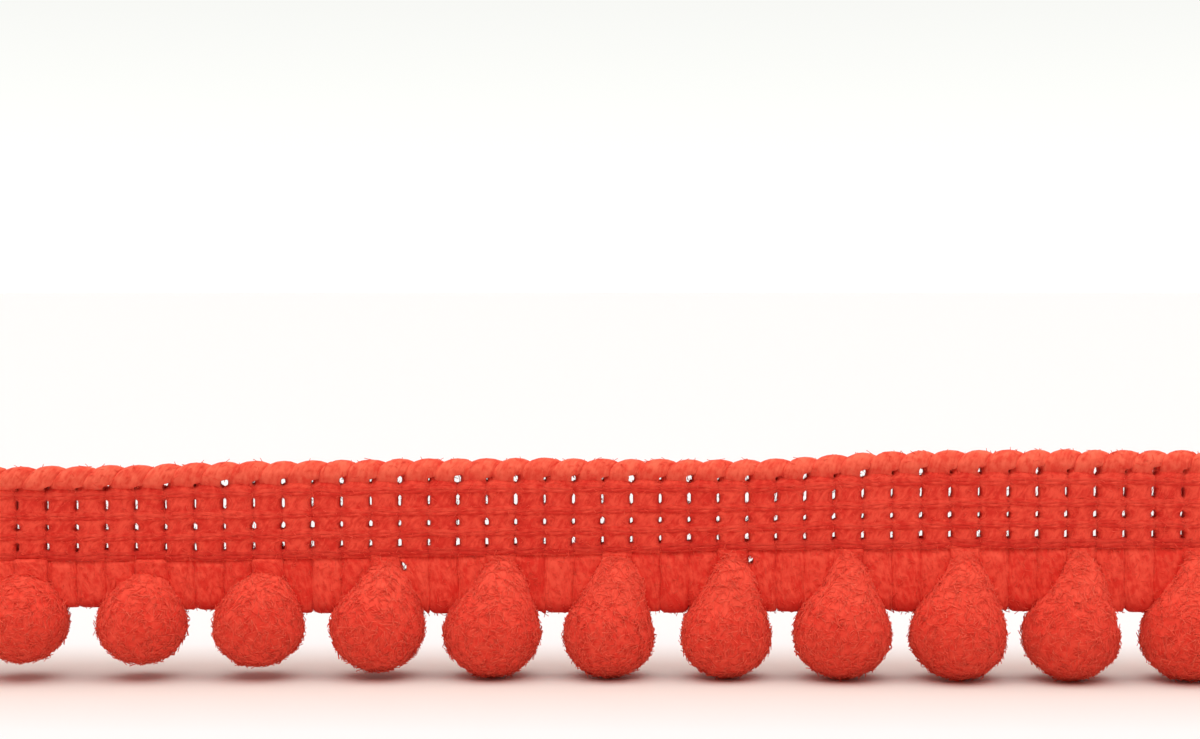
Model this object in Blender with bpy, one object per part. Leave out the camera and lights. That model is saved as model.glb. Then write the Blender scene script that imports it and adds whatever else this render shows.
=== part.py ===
"""A cut length of mini pompom trim, standing upright on its pompoms, the first few of which hang clear.

Three kinds of piece make the trim: a crocheted braid heading, a fringe of weft loops below it, and a row of
felted pompoms, one in place of every fourth loop. X runs along the trim, the face looks towards -Y, Z is up,
and the origin is the middle of the trim's footprint on the surface that it stands on.

Sizes here are in millimetres until the meshes are made. Places along the trim are counted in courses: a course
is one turn of the weft yarn, so whole numbers are the columns of small holes and halves are the stitches.
"""

import math
from typing import NamedTuple

import bmesh
import bpy

MM = 0.001

# The trim as a whole
LENGTH = 84.93
COURSES = 52
TIGHTENING = 0.0163  # the yarn is worked a little tighter towards +X, so the courses get narrower there
COURSES_PER_POMPOM = 4
FIRST_NECK_COURSE = 1  # the course whose loop is replaced by the first pompom's neck
CLEARANCE = 0.3  # between neighbouring pieces

# The braid heading
HEADING_HEIGHT = 5.4  # of the rows below; each place of the trim stretches or squeezes it a little
COLUMNS_PER_COURSE = 3
SCALLOP_DEPTH = 0.34
STRAND_SLANT = 0.17  # how far a top strand leans towards +X by its crest, in courses
ROLL_START = 3.5  # the height above which the top edge rolls forward
FLAT_ANGLE = 0.01  # radians; a smaller roll is none

# The loop fringe
ROOT_HEIGHT = 0.5  # of the strip that carries the loops
ROOT_HALF_DEPTH = 0.42
LOOP_HALF_DEPTH = 0.72
LOOP_GAP = 0.12  # between neighbouring loops
LEAST_LOOP = 0.12  # the shortest that a loop gets where a pompom presses it up

# The pompoms
FOOT_RADIUS = 1.15  # of the flat spot under each pompom
NECK_RADIUS = 0.7
NECK_SPREAD = 5.5  # how much wider a long neck's cone would be at the ball's middle; the ball hides it there
BALL_FORWARD = 0.62  # how far the ball's middle lies in front of the braid's middle
SHORT_NECK = 0.9  # in ball radii above its middle: a neck this short leaves its ball round
FULL_PULL = 0.6  # the length of neck past that which draws the ball's crown right over to it
LEAN_START = 0.3  # where the crown starts to lean to its neck, as a share of its height
POMPOM_SIDES = 14
LUMP = 0.022  # unevenness of the felt, as a share of the radius
GOLDEN_ANGLE = math.radians(137.5)  # turns each pompom's lumps away from the last one's
SHOULDER_STEP = 0.04  # of the search for the height at which a loop clears a pompom


class Hang(NamedTuple):
    """How the trim stands at one course."""

    course: float
    groove: float  # height of the heading's lower edge above the surface
    rise: float  # height of the heading above that edge
    depth: float  # place of the braid's middle plane along Y
    roll: float  # how far the top edge has rolled forward, in degrees


HANG = (
    Hang(course=0, groove=6.79, rise=5.29, depth=-0.61, roll=62),
    Hang(course=5, groove=6.72, rise=5.32, depth=-0.47, roll=58),
    Hang(course=9, groove=6.69, rise=5.39, depth=-0.24, roll=44),
    Hang(course=12, groove=6.67, rise=5.52, depth=-0.06, roll=14),
    Hang(course=16, groove=6.79, rise=5.47, depth=0.13, roll=2),
    Hang(course=20, groove=6.88, rise=5.48, depth=0.22, roll=0),
    Hang(course=24, groove=6.97, rise=5.39, depth=0.20, roll=0),
    Hang(course=28, groove=7.18, rise=5.12, depth=0.06, roll=0),
    Hang(course=31, groove=7.28, rise=5.08, depth=-0.12, roll=0),
    Hang(course=34, groove=7.35, rise=5.36, depth=-0.33, roll=0),
    Hang(course=38, groove=7.42, rise=5.47, depth=-0.62, roll=0),
    Hang(course=43, groove=7.48, rise=5.43, depth=-0.89, roll=0),
    Hang(course=47, groove=7.47, rise=5.40, depth=-0.89, roll=0),
    Hang(course=52, groove=7.43, rise=5.41, depth=-0.75, roll=0),
)


class Loop(NamedTuple):
    """How far down the loops reach at one course."""

    course: float
    bottom: float


LOOP_BOTTOMS = (
    Loop(course=0, bottom=4.12),
    Loop(course=8, bottom=3.94),
    Loop(course=15, bottom=3.61),
    Loop(course=20, bottom=3.52),
    Loop(course=27, bottom=3.63),
    Loop(course=35, bottom=3.76),
    Loop(course=40, bottom=3.82),
    Loop(course=46, bottom=3.69),
    Loop(course=52, bottom=3.62),
)


class Ball(NamedTuple):
    """One pompom's felted ball."""

    width: float
    aside: float  # of the ball's middle from its neck, along X
    lift: float  # of its flat spot above the surface; the first few hang clear of it


BALLS = (
    Ball(width=5.11, aside=-0.35, lift=1.00),
    Ball(width=5.22, aside=-0.49, lift=0.92),
    Ball(width=5.06, aside=-0.47, lift=0.81),
    Ball(width=5.23, aside=-0.56, lift=0.61),
    Ball(width=5.38, aside=-0.42, lift=0.32),
    Ball(width=5.50, aside=-0.49, lift=0.00),
    Ball(width=5.22, aside=-0.45, lift=0.00),
    Ball(width=5.12, aside=-0.38, lift=0.00),
    Ball(width=5.53, aside=-0.36, lift=0.00),
    Ball(width=5.53, aside=-0.36, lift=0.00),
    Ball(width=5.40, aside=-0.57, lift=0.00),
    Ball(width=5.42, aside=-0.51, lift=0.00),
    Ball(width=5.37, aside=-0.45, lift=0.00),
)


class Row(NamedTuple):
    """One lengthwise line of the heading's skin. Depths are from the middle plane, and the face's are positive."""

    height: float
    mid_stitch: float
    hole_column: float


CREST = Row(height=5.4, mid_stitch=0.0, hole_column=0.0)
FACE_ROWS = (
    Row(height=0.00, mid_stitch=0.34, hole_column=0.34),
    Row(height=0.30, mid_stitch=0.70, hole_column=0.54),  # fourth chain
    Row(height=0.70, mid_stitch=0.52, hole_column=0.30),  # fourth row of holes
    Row(height=1.28, mid_stitch=0.78, hole_column=0.56),  # third chain
    Row(height=1.87, mid_stitch=0.52, hole_column=0.30),
    Row(height=2.47, mid_stitch=0.78, hole_column=0.56),  # second chain
    Row(height=3.08, mid_stitch=0.52, hole_column=0.30),
    Row(height=3.69, mid_stitch=0.78, hole_column=0.56),  # first chain
    Row(height=4.30, mid_stitch=0.52, hole_column=0.30),
    Row(height=4.82, mid_stitch=0.60, hole_column=0.80),  # top strands
)
TOP_HOLES = 4.3  # the height of the first row of holes; the strands that scallop the edge start there
BACK_ROWS = (
    Row(height=4.85, mid_stitch=-0.58, hole_column=-0.76),
    Row(height=3.69, mid_stitch=-0.74, hole_column=-0.56),
    Row(height=2.47, mid_stitch=-0.74, hole_column=-0.56),
    Row(height=1.28, mid_stitch=-0.74, hole_column=-0.56),
    Row(height=0.00, mid_stitch=-0.34, hole_column=-0.34),
)


class Ring(NamedTuple):
    """One ring down a loop: how far down it is, and its width and depth as shares of the root's."""

    down: float
    wide: float
    deep: float


LOOP_RINGS = (
    Ring(down=0.38, wide=1.00, deep=1.10),
    Ring(down=0.72, wide=0.98, deep=1.06),
    Ring(down=0.92, wide=0.80, deep=0.84),
    Ring(down=1.00, wide=0.48, deep=0.50),
)
BALL_LATITUDES = (-40, -15, 10, 33, 52, 68)  # of a pompom's rings above its foot, in degrees


class Skin(NamedTuple):
    """A named closed skin: its points, and its faces as lists of point numbers."""

    name: str
    points: list
    faces: list


def smooth(table, column, course):
    """One column of a table at a course: a cubic through the rows, whose slopes come from the rows beside them."""
    at = next(i for i in range(1, len(table)) if course <= table[i].course or i == len(table) - 1)
    low, high = table[at - 1], table[at]
    before, after = table[max(at - 2, 0)], table[min(at + 1, len(table) - 1)]
    span = high.course - low.course
    a, b = getattr(low, column), getattr(high, column)
    slope_a = (b - getattr(before, column)) / (high.course - before.course) * span
    slope_b = (getattr(after, column) - a) / (after.course - low.course) * span
    t = min(max((course - low.course) / span, 0.0), 1.0)
    return (
        a * (2 * t**3 - 3 * t**2 + 1)
        + slope_a * (t**3 - 2 * t**2 + t)
        + b * (3 * t**2 - 2 * t**3)
        + slope_b * (t**3 - t**2)
    )


def along(course):
    """The X of a course."""
    share = course / COURSES
    return LENGTH * (share + TIGHTENING * share * (1 - share) - 0.5)


def place(course, forward, height):
    """The point at a course that lies forward of the braid's middle plane, square to the trim's slight bow in plan."""
    step = 0.05
    low, high = max(course - step, 0), min(course + step, COURSES)
    run = along(high) - along(low)
    swing = smooth(HANG, "depth", high) - smooth(HANG, "depth", low)
    length = math.hypot(run, swing)
    x = along(course) + forward * swing / length
    y = smooth(HANG, "depth", course) - forward * run / length
    return (x, y, height)


def rolled(course, height, forward):
    """A point of the heading, given flat by its height and depth, after its top edge has rolled forward."""
    stretch = smooth(HANG, "rise", course) / HEADING_HEIGHT
    groove = smooth(HANG, "groove", course)
    share = max(height - ROLL_START, 0) / (HEADING_HEIGHT - ROLL_START)
    angle = math.radians(smooth(HANG, "roll", course)) * share
    if angle < FLAT_ANGLE:
        return place(course, forward, groove + height * stretch)
    radius = (height - ROLL_START) * stretch / angle
    rise = ROLL_START * stretch + radius * math.sin(angle) - forward * math.sin(angle)
    lean = radius * (1 - math.cos(angle)) + forward * math.cos(angle)
    return place(course, lean, groove + rise)


def heading_loop(column):
    """The closed line round the heading at one column of its skin."""
    course = column / COLUMNS_PER_COURSE
    phase = column % COLUMNS_PER_COURSE
    at_hole = phase == 0
    in_notch = phase == 1
    ends = column in (0, COURSES * COLUMNS_PER_COURSE)
    loop = []
    for row in (*FACE_ROWS, CREST, *BACK_ROWS):
        height = row.height
        climb = max(row.height - TOP_HOLES, 0) / (CREST.height - TOP_HOLES)
        if row is CREST and in_notch:
            height -= SCALLOP_DEPTH
        if climb:
            forward = row.mid_stitch if in_notch else row.hole_column
        else:
            forward = row.hole_column if at_hole else row.mid_stitch
        slant = 0 if ends else STRAND_SLANT * climb
        loop.append(rolled(course + slant, height, forward))
    return loop


def heading():
    """The braid heading: four chains of stitches below a row of slanted strands that scallop the top edge."""
    loops = [heading_loop(column) for column in range(COURSES * COLUMNS_PER_COURSE + 1)]
    sides = len(loops[0])
    points = [point for loop in loops for point in loop]
    faces = [list(range(sides)), [len(points) - 1 - i for i in range(sides)]]
    for column in range(len(loops) - 1):
        for i in range(sides):
            a, b = column * sides + i, column * sides + (i + 1) % sides
            faces.append([a, b, b + sides, a + sides])
    return Skin("heading_braid", points, faces)


def has_neck(cell):
    """Whether the loop of this course is replaced by a pompom's neck."""
    return cell % COURSES_PER_POMPOM == FIRST_NECK_COURSE


def root_bottom(course):
    """The height of the root strip's lower side, where the loops start."""
    return smooth(HANG, "groove", course) - CLEARANCE - ROOT_HEIGHT


class Pompom:
    """One pompom: a felted ball on a small flat foot, drawn up into the neck that ties it under the braid."""

    def __init__(self, number):
        self.number = number
        self.ball = BALLS[number]
        self.course = number * COURSES_PER_POMPOM + FIRST_NECK_COURSE + 0.5
        self.radius = self.ball.width / 2
        self.middle = self.ball.lift + math.sqrt(self.radius**2 - FOOT_RADIUS**2)
        self.top = root_bottom(self.course) - CLEARANCE
        self.crown = min(self.radius, self.top - self.middle)  # the upper half may be pressed flatter than round
        neck = self.top - self.middle - SHORT_NECK * self.radius
        self.pull = min(max(neck / FULL_PULL, 0), 1)

    def axis(self, height):
        """The X and Y of the pompom's middle at a height: straight up the ball, then leaning to the neck."""
        neck_x, neck_y, _ = place(self.course, BALL_FORWARD, 0)
        low = self.middle + LEAN_START * self.crown
        lean = min(max((height - low) / (self.top - low), 0), 1)
        lean = lean * lean * (3 - 2 * lean)
        return neck_x + self.ball.aside * (1 - self.pull * lean), neck_y

    def reach(self, height):
        """The pompom's radius at a height, without lumps."""
        half = self.radius if height < self.middle else self.crown
        up = min(abs(height - self.middle) / half, 1)
        ball = self.radius * math.sqrt(1 - up * up)
        if height <= self.middle:
            return ball
        taper = (height - self.middle) / (self.top - self.middle)
        neck = (NECK_RADIUS + NECK_SPREAD * self.pull * (1 - taper)) * taper**2
        return math.hypot(ball, neck)

    def lump(self, angle, height):
        """The felt's unevenness at an angle and height, as a factor on the radius."""
        turn = self.number * GOLDEN_ANGLE
        return 1 + LUMP * (math.sin(2 * angle + turn + height) + math.sin(3 * angle - 2 * turn - height)) / 2

    def heights(self):
        """The heights of the rings, from the foot to the top of the neck."""
        rings = [self.ball.lift]
        for latitude in BALL_LATITUDES:
            sine = math.sin(math.radians(latitude))
            rings.append(self.middle + sine * (self.crown if sine > 0 else self.radius))
        spare = self.top - rings[-1]
        if spare > NECK_RADIUS:
            rings.append(self.top - spare / 2)
        return [*rings, self.top]

    def shape(self):
        """The pompom's closed skin."""
        points, faces = [], []
        rings = self.heights()
        for height in rings:
            x, y = self.axis(height)
            for side in range(POMPOM_SIDES):
                angle = 2 * math.pi * side / POMPOM_SIDES
                reach = self.reach(height) * self.lump(angle, height)
                points.append((x + reach * math.cos(angle), y + reach * math.sin(angle), height))
        for ring in range(len(rings) - 1):
            for side in range(POMPOM_SIDES):
                a = ring * POMPOM_SIDES + side
                b = ring * POMPOM_SIDES + (side + 1) % POMPOM_SIDES
                faces.append([a, b, b + POMPOM_SIDES, a + POMPOM_SIDES])
        faces.append(list(reversed(range(POMPOM_SIDES))))
        faces.append([len(points) - POMPOM_SIDES + side for side in range(POMPOM_SIDES)])
        return Skin(f"pompom_{self.number + 1:02d}", points, faces)

    def shoulder(self, x, y, ceiling):
        """The lowest height at which a loop may end at (x, y) and stay clear of this pompom."""
        clear = CLEARANCE + LUMP * self.radius
        height = ceiling
        while height > self.middle:
            ball_x, ball_y = self.axis(height)
            if math.hypot(x - ball_x, y - ball_y) < self.reach(height) + clear:
                return height + clear / 2
            height -= SHOULDER_STEP
        return 0.0


def loop_end(course, forward, pompoms):
    """How far down a loop reaches at one of its corners."""
    x, y, _ = place(course, forward, 0)
    root = root_bottom(course)
    lowest = max(smooth(LOOP_BOTTOMS, "bottom", course), *(p.shoulder(x, y, root) for p in pompoms))
    return min(lowest, root - LEAST_LOOP)


def fringe(pompoms):
    """The loops, of four sides each, below the narrow strip that their roots are fused into."""
    points, faces = [], []

    def add(course, forward, height):
        points.append(place(course, forward, height))
        return len(points) - 1

    def station(cell):
        """The strip's points at one course, with the loop's four corners where the course has a loop."""
        ends = cell in (-1, COURSES)
        course = min(max(cell + 0.5, 0), COURSES)
        bottom, top = root_bottom(course), smooth(HANG, "groove", course) - CLEARANCE
        bare = ends or has_neck(cell)
        deep = ROOT_HALF_DEPTH if bare else LOOP_HALF_DEPTH
        gap = LOOP_GAP / 2 / (along(course + 0.5) - along(course - 0.5))
        spot = {
            "face": add(course, deep, bottom),
            "back": add(course, -deep, bottom),
            "top_face": add(course, ROOT_HALF_DEPTH, top),
            "top_back": add(course, -ROOT_HALF_DEPTH, top),
        }
        if bare:
            spot["left"] = spot["right"] = add(course, 0, bottom)
        else:
            spot["left"] = add(course - 0.5 + gap, 0, bottom)
            spot["right"] = add(course + 0.5 - gap, 0, bottom)
            hang_loop(spot, course, gap, [p for p in pompoms if abs(p.course - course) < COURSES_PER_POMPOM])
        return spot

    def hang_loop(spot, course, gap, near):
        """The loop below one course's four corners."""
        corners = [(-1, 0), (0, 1), (1, 0), (0, -1)]
        above = [spot["left"], spot["face"], spot["right"], spot["back"]]
        root = root_bottom(course)
        for ring in LOOP_RINGS:
            below = []
            for side, out in corners:
                at = course + side * (0.5 - gap) * ring.wide
                forward = out * LOOP_HALF_DEPTH * ring.deep
                end = loop_end(course + side * (0.5 - gap), out * LOOP_HALF_DEPTH, near)
                below.append(add(at, forward, root + (end - root) * ring.down))
            for i in range(4):
                faces.append([above[i], above[(i + 1) % 4], below[(i + 1) % 4], below[i]])
            above = below
        faces.append(above)

    stations = [station(cell) for cell in range(-1, COURSES + 1)]
    for a, b in zip(stations, stations[1:], strict=False):
        faces.append([a["top_face"], b["top_face"], b["face"], a["face"]])
        faces.append([a["back"], b["back"], b["top_back"], a["top_back"]])
        faces.append([a["top_back"], b["top_back"], b["top_face"], a["top_face"]])
        faces.append([a["face"], b["face"], b["left"], a["right"]])
        faces.append([a["right"], b["left"], b["back"], a["back"]])
    for end in (stations[0], stations[-1]):
        faces.append([end[k] for k in ("top_face", "face", "left", "back", "top_back")])
    return Skin("loop_fringe", points, faces)


def yarn(name, colour, roughness):
    """A matte yarn's material."""
    material = bpy.data.materials.new(name)
    material.use_nodes = True
    shader = material.node_tree.nodes["Principled BSDF"]
    shader.inputs["Base Color"].default_value = (*colour, 1)
    shader.inputs["Roughness"].default_value = roughness
    shader.inputs["Metallic"].default_value = 0
    return material


def make(skin, material, centre):
    """The object of one closed skin, in metres, with the trim's footprint centred on the origin."""
    mesh = bpy.data.meshes.new(skin.name)
    work = bmesh.new()
    corners = [work.verts.new(((x - centre[0]) * MM, (y - centre[1]) * MM, z * MM)) for x, y, z in skin.points]
    for face in skin.faces:
        work.faces.new([corners[i] for i in face])
    bmesh.ops.recalc_face_normals(work, faces=work.faces)
    work.to_mesh(mesh)
    work.free()
    mesh.materials.append(material)
    mesh.shade_smooth()
    mesh.set_sharp_from_angle(angle=math.radians(60))
    bpy.context.scene.collection.objects.link(bpy.data.objects.new(skin.name, mesh))


def main():
    """Build the trim."""
    for old in list(bpy.data.objects):
        bpy.data.objects.remove(old, do_unlink=True)
    pompoms = [Pompom(number) for number in range(len(BALLS))]
    braid = yarn("braid_yarn", (0.68, 0.045, 0.022), 0.85)
    loop = yarn("loop_yarn", (0.62, 0.036, 0.018), 0.85)
    felt = yarn("pompom_felt", (0.70, 0.048, 0.026), 0.95)
    dressed = [(heading(), braid), (fringe(pompoms), loop), *((p.shape(), felt) for p in pompoms)]
    spots = [point for skin, _ in dressed for point in skin.points]
    centre = [(min(p[k] for p in spots) + max(p[k] for p in spots)) / 2 for k in (0, 1)]
    for skin, material in dressed:
        make(skin, material, centre)


main()
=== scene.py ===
"""Visual model of a cut length of pompom fringe trim, standing upright on its pompoms.

A crocheted braid heading carries a fringe of puffy yarn loops and a row of felted pompoms, one in place of
every fourth loop. Places along the trim are counted in courses: whole numbers are the columns of small holes,
halves are the stitches. Sizes are in millimetres until a mesh is finished.
"""

import logging
import math
import random
from collections.abc import Iterable
from dataclasses import asdict, dataclass, field
from enum import Enum
from functools import lru_cache
from itertools import product
from typing import Any, NamedTuple

import bmesh
import bpy
from bpy.types import Material, Mesh, Node, NodeTree, Object
from bpy.types import NodeSocket as Socket
from mathutils import Matrix, Vector, noise


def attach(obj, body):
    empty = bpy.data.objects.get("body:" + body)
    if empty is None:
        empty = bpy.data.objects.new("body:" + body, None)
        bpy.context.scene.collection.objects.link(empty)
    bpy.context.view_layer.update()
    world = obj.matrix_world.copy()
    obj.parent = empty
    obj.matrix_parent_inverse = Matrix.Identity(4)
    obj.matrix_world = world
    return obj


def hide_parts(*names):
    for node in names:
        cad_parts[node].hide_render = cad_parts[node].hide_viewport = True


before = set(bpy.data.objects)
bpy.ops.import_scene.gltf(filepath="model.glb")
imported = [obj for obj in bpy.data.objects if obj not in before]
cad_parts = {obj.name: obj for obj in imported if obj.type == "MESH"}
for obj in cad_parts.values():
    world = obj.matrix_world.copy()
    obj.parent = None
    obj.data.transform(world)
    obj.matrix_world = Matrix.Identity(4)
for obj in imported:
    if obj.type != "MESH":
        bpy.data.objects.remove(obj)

MM = 0.001
LOG = logging.getLogger("pompom_fringe")
Colour = tuple[float, float, float]


class Side(Enum):
    """Which side of the braid a chain lies on."""

    FACE = 1
    BACK = -1


def clamp(value: float, low: float = 0.0, high: float = 1.0) -> float:
    """A value kept between two limits."""
    return min(max(value, low), high)


def ease(value: float) -> float:
    """A smooth step from 0 to 1."""
    value = clamp(value)
    return value * value * (3 - 2 * value)


def squared(value: float, power: float) -> float:
    """A sine or cosine to a power, with its sign; a power below 1 squares the section that it draws."""
    return math.copysign(abs(value) ** power, value)


def around(sides: int, start: float = 0.0) -> list[tuple[float, float, float]]:
    """The angles of a ring's points, each with its cosine and sine."""
    angles = [2 * math.pi * (side + start) / sides for side in range(sides)]
    return [(angle, math.cos(angle), math.sin(angle)) for angle in angles]


# ----- How the trim hangs -----


class HangRow(NamedTuple):
    """How the trim stands at one course."""

    course: float
    groove: float  # height of the heading's lower edge above the floor
    rise: float  # height of the heading above that edge
    depth: float  # place of the braid's middle plane, from front to back
    roll: float  # how far the top edge has rolled forward, in degrees


class LoopRow(NamedTuple):
    """How far down the loops reach at one course."""

    course: float
    bottom: float


@dataclass(frozen=True)
class Station:
    """One place along the trim, with the directions of the braid there."""

    place: Vector
    ahead: Vector
    out: Vector
    groove: float
    rise: float
    roll: float
    pitch: float
    full_height: float
    roll_start: float

    def hung(self, across: float, forward: float, height: float) -> Vector:
        """The point that lies so far along the trim from here, in front of the braid, and above the floor."""
        return self.place + self.ahead * across + self.out * forward + Vector((0, 0, height))

    def braided(self, across: float, forward: float, height: float) -> Vector:
        """A point of the heading, after its top edge has rolled forward.

        Args:
            across: distance along the trim from this place.
            forward: distance in front of the braid's middle plane.
            height: height above the groove, in the flat braid.

        Returns:
            The point, in millimetres.
        """
        stretch = self.rise / self.full_height
        share = max(height - self.roll_start, 0) / (self.full_height - self.roll_start)
        angle = math.radians(self.roll) * share
        if angle < 0.01:
            return self.hung(across, forward, self.groove + height * stretch)
        radius = (height - self.roll_start) * stretch / angle
        climb = self.roll_start * stretch + (radius - forward) * math.sin(angle)
        lean = radius * (1 - math.cos(angle)) + forward * math.cos(angle)
        return self.hung(across, lean, self.groove + climb)


@dataclass(frozen=True)
class Hang:
    """The trim's slight bow in plan, its rise from left to right, and its rolled top edge."""

    length: float = 84.93
    courses: int = 52
    tightening: float = 0.0163
    full_height: float = 5.4
    roll_start: float = 3.5
    middle: tuple[float, float] = (-0.16672, -0.96606)
    rows: tuple[HangRow, ...] = (
        HangRow(0, 6.79, 5.29, -0.61, 62),
        HangRow(5, 6.72, 5.32, -0.47, 58),
        HangRow(9, 6.69, 5.39, -0.24, 44),
        HangRow(12, 6.67, 5.52, -0.06, 14),
        HangRow(16, 6.79, 5.47, 0.13, 2),
        HangRow(20, 6.88, 5.48, 0.22, 0),
        HangRow(24, 6.97, 5.39, 0.20, 0),
        HangRow(28, 7.18, 5.12, 0.06, 0),
        HangRow(31, 7.28, 5.08, -0.12, 0),
        HangRow(34, 7.35, 5.36, -0.33, 0),
        HangRow(38, 7.42, 5.47, -0.62, 0),
        HangRow(43, 7.48, 5.43, -0.89, 0),
        HangRow(47, 7.47, 5.40, -0.89, 0),
        HangRow(52, 7.43, 5.41, -0.75, 0),
    )

    def value(self, column: str, course: float, rows: tuple[NamedTuple, ...] | None = None) -> float:
        """One column of a table at a course, on a smooth curve through its rows.

        Args:
            column: the column's name.
            course: the place along the trim.
            rows: the table; the hang's own without it.

        Returns:
            The column's value there.
        """
        table = rows or self.rows
        at = next(i for i in range(1, len(table)) if course <= table[i].course or i == len(table) - 1)
        low, high = table[at - 1], table[at]
        before, after = table[max(at - 2, 0)], table[min(at + 1, len(table) - 1)]
        span = high.course - low.course
        a, b = getattr(low, column), getattr(high, column)
        slope_a = (b - getattr(before, column)) / (high.course - before.course) * span
        slope_b = (getattr(after, column) - a) / (after.course - low.course) * span
        t = clamp((course - low.course) / span)
        start = a * (2 * t**3 - 3 * t**2 + 1) + slope_a * (t**3 - 2 * t**2 + t)
        return start + b * (3 * t**2 - 2 * t**3) + slope_b * (t**3 - t**2)

    def along(self, course: float) -> float:
        """The distance along the trim, from its middle, of a course."""
        share = course / self.courses
        return self.length * (share + self.tightening * share * (1 - share) - 0.5)

    @lru_cache(maxsize=4096)
    def station(self, course: float) -> Station:
        """The place and directions of the braid at a course.

        Args:
            course: the place along the trim.

        Returns:
            Its station, with X and Y from the middle of the trim's footprint.
        """
        low, high = max(course - 0.05, 0), min(course + 0.05, self.courses)
        run = self.along(high) - self.along(low)
        ahead = Vector((run, self.value("depth", high) - self.value("depth", low), 0)).normalized()
        x, y = self.along(course) - self.middle[0], self.value("depth", course) - self.middle[1]
        return Station(
            place=Vector((x, y, 0)),
            ahead=ahead,
            out=Vector((ahead.y, -ahead.x, 0)),
            groove=self.value("groove", course),
            rise=self.value("rise", course),
            roll=self.value("roll", course),
            pitch=run / (high - low),
            full_height=self.full_height,
            roll_start=self.roll_start,
        )


# ----- Node trees -----


class Number:
    """A number in a node tree that takes part in Python expressions."""

    def __init__(self, tree: "Tree", socket: Socket) -> None:
        """Wraps an output socket of a tree."""
        self.tree = tree
        self.socket = socket

    def maths(self, operation: str, *terms: Any) -> "Number":
        """The result of a Math node on numbers or wrapped sockets, in the order of its inputs."""
        return Number(self.tree, self.tree.made("ShaderNodeMath", {"operation": operation}, *terms))

    def __add__(self, other: Any) -> "Number":
        """This number plus another."""
        return self.maths("ADD", self, other)

    def __sub__(self, other: Any) -> "Number":
        """This number less another."""
        return self.maths("SUBTRACT", self, other)

    def __rsub__(self, other: Any) -> "Number":
        """Another number less this one."""
        return self.maths("SUBTRACT", other, self)

    def __mul__(self, other: Any) -> "Number":
        """This number times another."""
        return self.maths("MULTIPLY", self, other)

    __radd__, __rmul__ = __add__, __mul__

    def clamped(self) -> "Number":
        """This number kept between 0 and 1."""
        return self.maths("MINIMUM", self.maths("MAXIMUM", self, 0.0), 1.0)


def in_use(sockets: Iterable[Socket], name: str) -> Socket:
    """The one of a node's sockets that has a name and is in use."""
    return next(s for s in sockets if s.name == name and s.enabled)


class Tree:
    """A node tree under construction, whose nodes all come from one method."""

    def __init__(self, tree: NodeTree) -> None:
        """Starts on an empty tree."""
        self.tree = tree
        tree.nodes.clear()

    def add(self, kind: str, settings: dict[str, Any] | None = None, *first: Any, **named: Any) -> Node:
        """Adds a node.

        Args:
            kind: the node's type.
            settings: its properties, set before its inputs.
            first: values or links of its first inputs, in their order.
            named: values or links of inputs by name, with underscores for spaces.

        Returns:
            The node.
        """
        node = self.tree.nodes.new(kind)
        for name, setting in (settings or {}).items():
            setattr(node, name, setting)
        given = list(zip(node.inputs, first))
        given += [(in_use(node.inputs, name.replace("_", " ")), value) for name, value in named.items()]
        for target, value in given:
            source = getattr(value, "socket", value)
            if isinstance(source, Socket):
                self.tree.links.new(source, target)
            else:
                target.default_value = source
        return node

    def made(self, kind: str, settings: dict[str, Any] | None = None, *first: Any, **named: Any) -> Socket:
        """The first output of a new node, which is added as above."""
        return self.add(kind, settings, *first, **named).outputs[0]

    def number(self, node: Node, name: str) -> Number:
        """An output of a node, wrapped for expressions."""
        return Number(self, in_use(node.outputs, name))

    def vector(self, operation: str, *terms: Any) -> Socket:
        """The vector result of a Vector Math node on vectors or links, in the order of its inputs."""
        return self.made("ShaderNodeVectorMath", {"operation": operation}, *terms)

    def scaled(self, vector: Any, factor: Any) -> Socket:
        """A vector times a number."""
        return self.made("ShaderNodeVectorMath", {"operation": "SCALE"}, Vector=vector, Scale=factor)

    def xyz(self, x: Any, y: Any, z: Any) -> Socket:
        """A vector of three numbers."""
        return self.made("ShaderNodeCombineXYZ", None, x, y, z)

    def axis(self, vector: Any, name: str) -> Number:
        """One of the numbers of a vector."""
        return self.number(self.add("ShaderNodeSeparateXYZ", None, vector), name)

    def mixed(self, share: Number, one: Any, other: Any) -> Socket:
        """Mixes a colour with another.

        Args:
            share: the share of the other.
            one: a colour or a link.
            other: another.

        Returns:
            The mixed colour.
        """
        a, b = ((*c, 1.0) if isinstance(c, tuple) else c for c in (one, other))
        node = self.add("ShaderNodeMix", {"data_type": "RGBA"}, Factor=share, A=a, B=b)
        return in_use(node.outputs, "Result")

    def mottle(self, place: Any, scale: float, detail: float = 3.0, roughness: float = 0.5) -> Number:
        """Noise over a vector."""
        inputs = {"Vector": place, "Scale": scale, "Detail": detail, "Roughness": roughness}
        return self.number(self.add("ShaderNodeTexNoise", **inputs), "Fac")


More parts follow.
